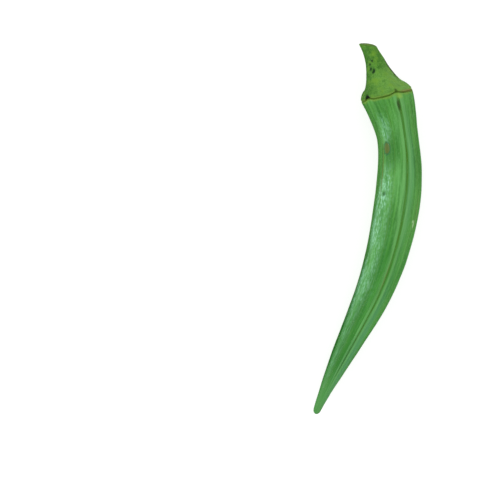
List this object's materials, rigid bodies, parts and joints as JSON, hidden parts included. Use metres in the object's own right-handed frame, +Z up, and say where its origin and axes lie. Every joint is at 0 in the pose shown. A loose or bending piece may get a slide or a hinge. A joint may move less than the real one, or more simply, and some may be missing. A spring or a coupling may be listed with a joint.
{
  "type": "okra pod",
  "caption": "Fresh okra pod lying on its side: a curved, tapering, ridged green capsule with a blunt tip, and a cut stem that flares into a cap.",
  "frame": {"origin": "under the middle of the pod's bounding box, on the plane that it lies on", "axes": "+Y towards the stem end, along the longest extent; +Z up from the plane it lies on, the shortest extent; +X towards the outside of the bend"},
  "size_m": [0.0374, 0.1308, 0.0177],
  "materials": {
    "pod_skin": "fresh green plant skin, waxy, with fine lengthwise streaks and a soft sheen",
    "stem_skin": "fresh green stem skin, matt, yellower than the capsule"
  },
  "bodies": {
    "root": {"pod_body": "pod_skin", "stem_cap": "stem_skin"}
  },
  "joints": []
}
